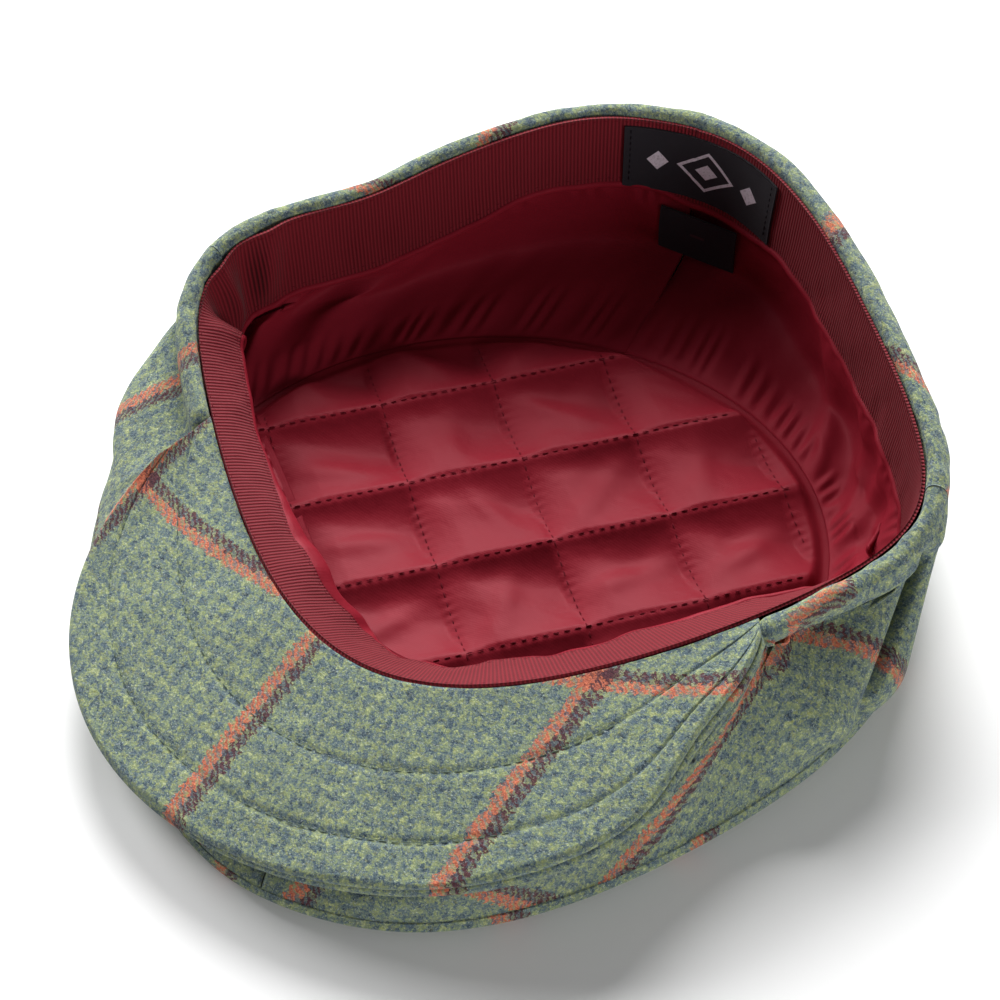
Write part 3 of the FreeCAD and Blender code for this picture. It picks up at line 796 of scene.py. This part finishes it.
def ribbon():
    th = np.linspace(0, 2 * PI, count(1400), endpoint=False)
    v = np.linspace(0, 1, count(28))
    TH, V = np.meshgrid(th, v, indexing="ij")
    base, flat, front = band_shape(TH, V)
    n = -normals(base, True)
    n *= np.sign((n * band_n(TH)).sum(-1, keepdims=True))
    deg = np.degrees(TH)
    lift = ribbon_lift(deg, V)
    face = base + n * (0.9 + lift)[..., None]
    back = base + n * (0.05 + lift)[..., None]
    length = run_length(rim(th)[:, None], 0)
    uv = np.stack(np.broadcast_arrays(length, V * BAND_H), -1)
    strip = slab_mesh("ribbon", back, face, uv, RIBBON, closed=True)
    finish_piece(strip, "cap", ["sweatband_ribbon"])
    # satin piping below it
    deg = np.degrees(th)
    off, quiet = lift[:, -1:], calm(deg)
    F, G = flat[:, 0], front[:, 0]
    low = unit(base[:, -1] - base[:, -2])
    hem = F * (1 - smooth(208, 226, deg))
    wide = 1.1 - 0.2 * F + 1.5 * hem + 1.1 * G * (1 + 0.5 * lattice(deg / 4, 0 * th, 35))
    c = base[:, -1] + n[:, -1] * (0.55 - 0.9 * np.maximum(F - hem, G)[:, None] + off)
    c = c + low * (wide * 0.75)[:, None] + vec(0, 0, 0.3 * quiet * lattice(deg / 6, 0 * th, 33))
    a = np.linspace(0, 2 * PI, 16, endpoint=False)
    rad = 1.05 - 0.35 * np.maximum(F, G) + 0.14 * quiet * lattice(deg / 2.5, 0 * th, 34)
    p = c[:, None] + low[:, None] * (np.cos(a)[None, :] * wide[:, None])[..., None] \
        + n[:, -1][:, None] * (np.sin(a)[None, :] * rad[:, None])[..., None]
    uv = np.stack(np.broadcast_arrays(length, a[None, :] * 1.2), -1)
    ob = tube_mesh("piping", p, uv, SATIN, closed_u=True)
    finish_piece(ob, "cap", ["band_piping"])


ribbon()


# ------------------------------------------------------------------ lining
# folds of the side lining: place in degrees, how far it drifts downwards, width, height in mm
FOLDS = ((80, 4, 13, 9.0), (60, 8, 3.5, 3.0), (50, 14, 4, 3.5), (36, 12, 4, 2.5), (112, -8, 8, 4.0),
         (22, -20, 6, 2.0), (346, 24, 7, 2.5), (320, -26, 6, 3.0), (298, -22, 5, 3.5), (276, 14, 5, 2.5))


def lining_side(name, a, b, node):
    th = np.linspace(math.radians(a), math.radians(b), count(520))
    t = np.linspace(0, 1, count(90))
    p = spline(lining_points(th), t)
    n = normals(p)
    deg = np.degrees(th)[:, None] + 0 * t[None, :]
    T = t[None, :] + 0 * deg
    live = smooth(0.12, 0.35, T) * (1 - smooth(0.82, 1.0, T))
    x = deg * 1.6
    fold = 0.0
    for c, drift, wid, amp in FOLDS:
        fold = fold + amp * bump(deg, c + drift * T, wid)
    fold = fold + 1.3 * lattice(x / 22 + T * 2, T * 3, 41) + 0.5 * lattice(x / 7 + T * 3, T * 5, 42)
    seams = smooth(0.78, 0.90, T) * (1 - smooth(0.93, 1.0, T)) + (1 - smooth(0.2, 0.3, T)) * smooth(0.14, 0.2, T)
    pucker = 0.35 * np.sin(x * 1.1 + 3 * lattice(x / 9, 0 * x, 43)) * seams
    p = p - n * (fold * live + pucker)[..., None]
    n = normals(p)
    length = run_length(p, 1)
    uv = np.stack([deg * 1.65, length], -1)
    ob = slab_mesh(name, p + n * 0.5, p, uv, SATIN)
    return finish_piece(ob, "cap", [node])


lining_side("satin_side_right", -0.25, 180.0, "lining_side_right")
lining_side("satin_side_left", 180.0, 359.9, "lining_side_left")

# the quilting: the distance between rows each way, their direction, and a crossing of two rows
QA, QB = 29.5, 32.0
QDEG = math.radians(-46.2)
QUILT_Z = 6.2
Q0 = np.array([-72.5, -24.6])
DIR_A = np.array([math.cos(QDEG), math.sin(QDEG)])
DIR_B = np.array([-math.sin(QDEG), math.cos(QDEG)])


def quilt_height(x, y):
    px, py = x - Q0[0], y - Q0[1]
    a = (px * DIR_A[0] + py * DIR_A[1]) / QA
    b = (px * DIR_B[0] + py * DIR_B[1]) / QB
    fa, fb = np.abs(np.sin(PI * a)), np.abs(np.sin(PI * b))
    puff = np.minimum(fa, fb) ** 0.45
    ia, ib = np.floor(a), np.floor(b)
    ca, cb = a - ia - 0.5, b - ib - 0.5
    r1, r2 = lattice(ia * 7.3, ib * 5.1, 51), lattice(ia * 3.7, ib * 9.7, 52)
    step, across = a - ia, b - ib
    # the cloth falls from each row into a fold that widens across the cell, and
    # rises again to the next row; between the cells it is drawn down by the stitches
    crease = 0.17 + (0.36 + 0.14 * r1) * across
    fall = 1 - (1 - np.clip(step / crease, 0, 1)) ** 2
    drop = np.where(step < crease, fall, 1 - np.clip((step - crease) / (1 - crease), 0, 1) ** 1.5)
    free = np.clip(across / 0.28, 0, 1) ** 0.8 * (1 - smooth(0.93, 1.0, across))
    valley = 2.7 * np.sin(PI * step) ** 0.7
    ramp = 1.6 - mix(valley, (1.3 + 2.4 * across + 0.5 * r2) * drop, free)
    ang = PI * r1
    along = ca * np.cos(ang) + cb * np.sin(ang)
    ridge = bump(along, 0.16 * r2, 0.13) * (fa * fb)
    pucker = np.exp(-fa * 9) * np.sin(b * QB * 2.3) * fb + np.exp(-fb * 9) * np.sin(a * QA * 2.3) * fa
    notch = np.exp(-(np.sin(PI * a) * QA / PI / 0.7) ** 2)
    return 3.6 + 1.45 * ramp - 0.5 * notch + 0.9 * ridge + 0.14 * pucker + 0.5 * lattice(x / 9, y / 9, 53) * puff


def quilted():
    step = 0.55
    g = np.arange(-88, 88.1, step)
    X, Y = np.meshgrid(g, g + LINING_CY, indexing="ij")
    e = quilt_ring(X, Y)
    keep = e < 1.025
    h = quilt_height(X, Y)
    Z = QUILT_Z + mix(h, 1.3 + 0 * h, smooth(0.955, 0.995, e))
    idx = -np.ones(X.shape, int)
    idx[keep] = np.arange(keep.sum())
    q = keep[:-1, :-1] & keep[1:, :-1] & keep[1:, 1:] & keep[:-1, 1:]
    f = np.stack([idx[:-1, :-1][q], idx[1:, :-1][q], idx[1:, 1:][q], idx[:-1, 1:][q]], -1)
    used = np.unique(f)
    remap = -np.ones(keep.sum(), int)
    remap[used] = np.arange(len(used))
    f = remap[f]
    top = vec(X[keep], Y[keep], Z[keep])[used]
    m = len(used)
    low = top.copy()
    low[:, 2] = 2.6
    edges = {}
    for quad in f:
        for a, b in zip(quad, np.roll(quad, -1)):
            edges[(a, b)] = 1
    border = [(a, b) for (a, b) in edges if (b, a) not in edges]
    faces = [list(v) for v in f] + [[v + m for v in q4[::-1]] for q4 in f]
    faces += [[b, a, a + m, b + m] for a, b in border]
    verts = np.concatenate([top, low])
    ob = add_object("quilted_lining", verts, faces, np.concatenate([top[:, :2]] * 2), SATIN_QUILT_SHADED)
    return finish_piece(ob, "cap", ["lining_crown_face", "lining_wadding", "lining_backing"])


quilted()


# ------------------------------------------------------------------ stitches
def stitch_rows(name, rows, length, gap, width, height, mat, node):
    # rows: list of (points, ups); short rounded stitches along each row
    verts, faces = [], []
    ring = 6
    prof = ((-1.0, 0.15), (-0.72, 0.8), (0.0, 1.0), (0.72, 0.8), (1.0, 0.15))
    for pts, ups in rows:
        d = np.linalg.norm(np.diff(pts, axis=0), axis=1)
        s = np.concatenate([[0], np.cumsum(d)])
        for c in np.arange(length, s[-1] - length, length + gap):
            at = [np.interp(c + k * length / 2, s, pts[:, q]) for k in (-1, 0, 1) for q in range(3)]
            at = np.array(at).reshape(3, 3)
            up = np.array([np.interp(c, s, ups[:, q]) for q in range(3)])
            t = unit(at[2] - at[0])
            side = unit(np.cross(t, up))
            up = np.cross(side, t)
            base = len(verts)
            for k, r in prof:
                o = at[1] + (at[2] - at[0]) * 0.5 * k + up * (height * 0.3 * (1 - k * k))
                for q in range(ring):
                    a = 2 * PI * q / ring
                    verts.append(o + (side * math.cos(a) * width / 2 + up * math.sin(a) * height / 2) * r)
            for k in range(len(prof) - 1):
                for q in range(ring):
                    q2 = (q + 1) % ring
                    a, b = base + k * ring, base + (k + 1) * ring
                    faces.append([a + q, a + q2, b + q2, b + q])
            faces.append([base + q for q in range(ring)][::-1])
            faces.append([base + (len(prof) - 1) * ring + q for q in range(ring)])
    ob = add_object(name, np.array(verts), faces, None, mat)
    return finish_piece(ob, "cap", [node])


def quilt_rows():
    rows = []
    for k in range(-3, 8):
        for o, run in ((Q0 + DIR_A * QA * k, DIR_B), (Q0 + DIR_B * QB * k, DIR_A)):
            t = np.linspace(-260, 260, 1200)
            p = o[None] + run[None] * t[:, None]
            p = p[quilt_ring(p[:, 0], p[:, 1]) < 0.95]
            if len(p) < 60:
                continue
            z = QUILT_Z + quilt_height(p[:, 0], p[:, 1]) + 0.05
            rows.append((vec(p[:, 0], p[:, 1], z), np.tile([0, 0, 1.0], (len(p), 1))))
    return rows


stitch_rows("quilting_stitches", quilt_rows(), 1.7, 1.2, 0.34, 0.3, RED_THREAD, "quilting_thread")


def band_row(v, up):
    th = np.linspace(0, 2 * PI, 1200)
    TH, V = np.meshgrid(th, np.array([v, v + 0.02]), indexing="ij")
    p = band_shape(TH, V)[0]
    n = normals(p)[:, 0]
    n = n * np.sign((n * band_n(th)).sum(-1, keepdims=True))
    deg = np.degrees(th)
    lift = ribbon_lift(deg, v + 0 * deg)
    return (p[:, 0] + n * (up - 0.18 + lift)[:, None], n)


for end, v, node in (("top", 0.05, "band_thread_upper"), ("low", 0.93, "band_thread_lower")):
    stitch_rows("ribbon_stitches_" + end, [band_row(v, 1.0)], 1.5, 1.5, 0.28, 0.22, RED_THREAD, node)


def visor_row(w0, wmid, span):
    s = np.linspace(-span, span, 500)
    w = w0 + wmid * (1 - s * s)
    return (visor_at(s, w, 0.5 + 0 * s), visor_n(s, w))


for end, row in (("edge", visor_row(0.80, 0, 0.93)), ("inner", visor_row(0.31, 0.14, 0.80))):
    stitch_rows("visor_stitches_" + end, [row], 1.9, 1.0, 0.34, 0.3, GREEN_THREAD, "visor_thread_" + end)


# ------------------------------------------------------------------ labels
def label():
    half = LABEL_HALF / LABEL_RADIUS
    th = np.linspace(LABEL_MID - half, LABEL_MID + half, 120)
    v = np.linspace(0.09, 0.91, 50)
    TH, V = np.meshgrid(th, v, indexing="ij")
    wave = 0.25 * lattice(np.degrees(TH) / 5, V * 2, 61)
    low = band_at(TH, V, 1.15 + wave)
    top = band_at(TH, V, 1.70 + wave)
    uv = np.stack([(TH - LABEL_MID) * LABEL_RADIUS, (V - 0.5) * BAND_H], -1)
    ob = slab_mesh("woven_label", low, top, uv, LABEL)
    finish_piece(ob, "cap", ["maker_label"])
    for nm, sg in (("right", 1), ("left", -1)):
        vv = np.linspace(0.1, 0.9, 80)
        tt = LABEL_MID + sg * (half - 0.02) + 0 * vv
        row = (band_at(tt, vv, 1.8 + 0 * vv), band_n(tt))
        stitch_rows("label_stitches_" + nm, [row], 1.3, 0.7, 0.35, 0.3, BLACK_THREAD, "label_thread_" + nm)


label()


def tab():
    lo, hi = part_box("size_tab")
    lo, hi = np.array(lo) / MM, np.array(hi) / MM
    lo[1] -= Y_SHIFT
    hi[1] -= Y_SHIFT
    n = rim_n(np.array([LABEL_MID]))[0]
    t = np.array([n[1], -n[0], 0.0])
    c = (lo + hi) / 2
    u = np.linspace(-12, 12, 60)
    z = np.linspace(hi[2], lo[2], 44)
    U, Z = np.meshgrid(u, z, indexing="ij")
    k = (hi[2] - Z) / (hi[2] - lo[2])
    bow = 0.5 * np.sin(PI * k) * (U / 12) ** 2 - 0.35 * k * k * (1 + 0.4 * U / 12)
    base = c[None, None, :2] + t[None, None, :2] * U[..., None] - n[None, None, :2] * bow[..., None]
    a = np.concatenate([base + n[None, None, :2] * 0.28, Z[..., None]], -1)
    b = np.concatenate([base - n[None, None, :2] * 0.28, Z[..., None]], -1)
    ob = slab_mesh("hanging_tab", a, b, np.stack([U, Z - c[2]], -1), TAB)
    finish_piece(ob, "size_tab", ["size_tab"])


tab()


# the board inside the visor
def stiffener():
    g = Graph("board_grey")
    col = g.colour_mix(g.noise(g.place(), 0.4, 3.0), srgb(52, 52, 54), srgb(70, 70, 72))
    g.set(Base_Color=col, Roughness=0.6)
    s, w = np.linspace(-0.93, 0.93, count(160)), np.linspace(0.06, 0.90, count(40))
    S, W = np.meshgrid(s, w, indexing="ij")
    top, low = visor_at(S, W, 1.7 + 0 * S), visor_at(S, W, 3.7 + 0 * S)
    ob = slab_mesh("visor_stiffener", top, low, np.stack([S, W], -1) * 80, g.mat)
    return finish_piece(ob, "cap", ["visor_board"])


stiffener()


# ------------------------------------------------------------------ stage, light, camera
def stage_material():
    s = Graph("stage_white")
    s.set(Base_Color=(0.93, 0.93, 0.93, 1.0), Roughness=0.9)
    return s.mat


# just under the cap, so the two never share a plane
bpy.ops.mesh.primitive_circle_add(vertices=128, radius=0.95, fill_type="NGON", location=(0, 0, -0.0002))
floor = bpy.context.object
floor.name = "floor"
floor.data.materials.append(stage_material())

# a pale surround that only the camera sees, so it adds no light
bpy.ops.mesh.primitive_uv_sphere_add(segments=48, ring_count=24, radius=12)
surround = bpy.context.object
surround.name = "surround"
paper = Graph("surround_pale")
paper.set(Base_Color=(0.0, 0.0, 0.0, 1.0), Emission_Color=(1.0, 1.0, 1.0, 1.0), Emission_Strength=0.93)
surround.data.materials.append(paper.mat)
for kind in ("diffuse", "glossy", "transmission", "volume_scatter", "shadow"):
    setattr(surround, "visible_" + kind, False)


def softbox(name, loc, size, power):
    light = bpy.data.lights.new(name, "AREA")
    light.shape = "DISK"
    light.size = size
    light.energy = power
    o = bpy.data.objects.new(name, light)
    o.location = loc
    aim = Vector((0, 0, 0.02)) - Vector(loc)
    o.rotation_euler = aim.to_track_quat("-Z", "Y").to_euler()
    bpy.context.scene.collection.objects.link(o)


softbox("key", (-0.62, 1.2, 0.90), 1.15, 59)
softbox("fill", (1.5, -0.55, 0.35), 0.8, 15)
softbox("side", (-1.3, 0.25, 0.8), 0.8, 18)
world = bpy.data.worlds.new("studio")
bpy.context.scene.world = world
world.use_nodes = True
world.node_tree.nodes["Background"].inputs[0].default_value = (1, 1, 1, 1)
world.node_tree.nodes["Background"].inputs[1].default_value = 0.14

# the camera stands 0.6 m off, and the frame shows the cap at 3.82 pixels to the millimetre
AZ, EL, DIST = math.radians(28.0), math.radians(50.0), 0.6
PX_PER_MM, FRAME_PX, SENSOR = 3.82, 1000, 36.0
target = Vector((-0.0011, (-23.8 + Y_SHIFT) * MM, 0.020))
back = Vector((math.sin(AZ) * math.cos(EL), -math.cos(AZ) * math.cos(EL), math.sin(EL)))
cam = bpy.data.cameras.new("camera")
cam.lens = PX_PER_MM * 600 * SENSOR / FRAME_PX
cam.sensor_width = SENSOR
cam.clip_start = 0.01
cob = bpy.data.objects.new("camera", cam)
cob.location = target + back * DIST
cob.rotation_euler = (-back).to_track_quat("-Z", "Y").to_euler()
bpy.context.scene.collection.objects.link(cob)
bpy.context.scene.camera = cob
bpy.context.scene.view_settings.view_transform = "Standard"
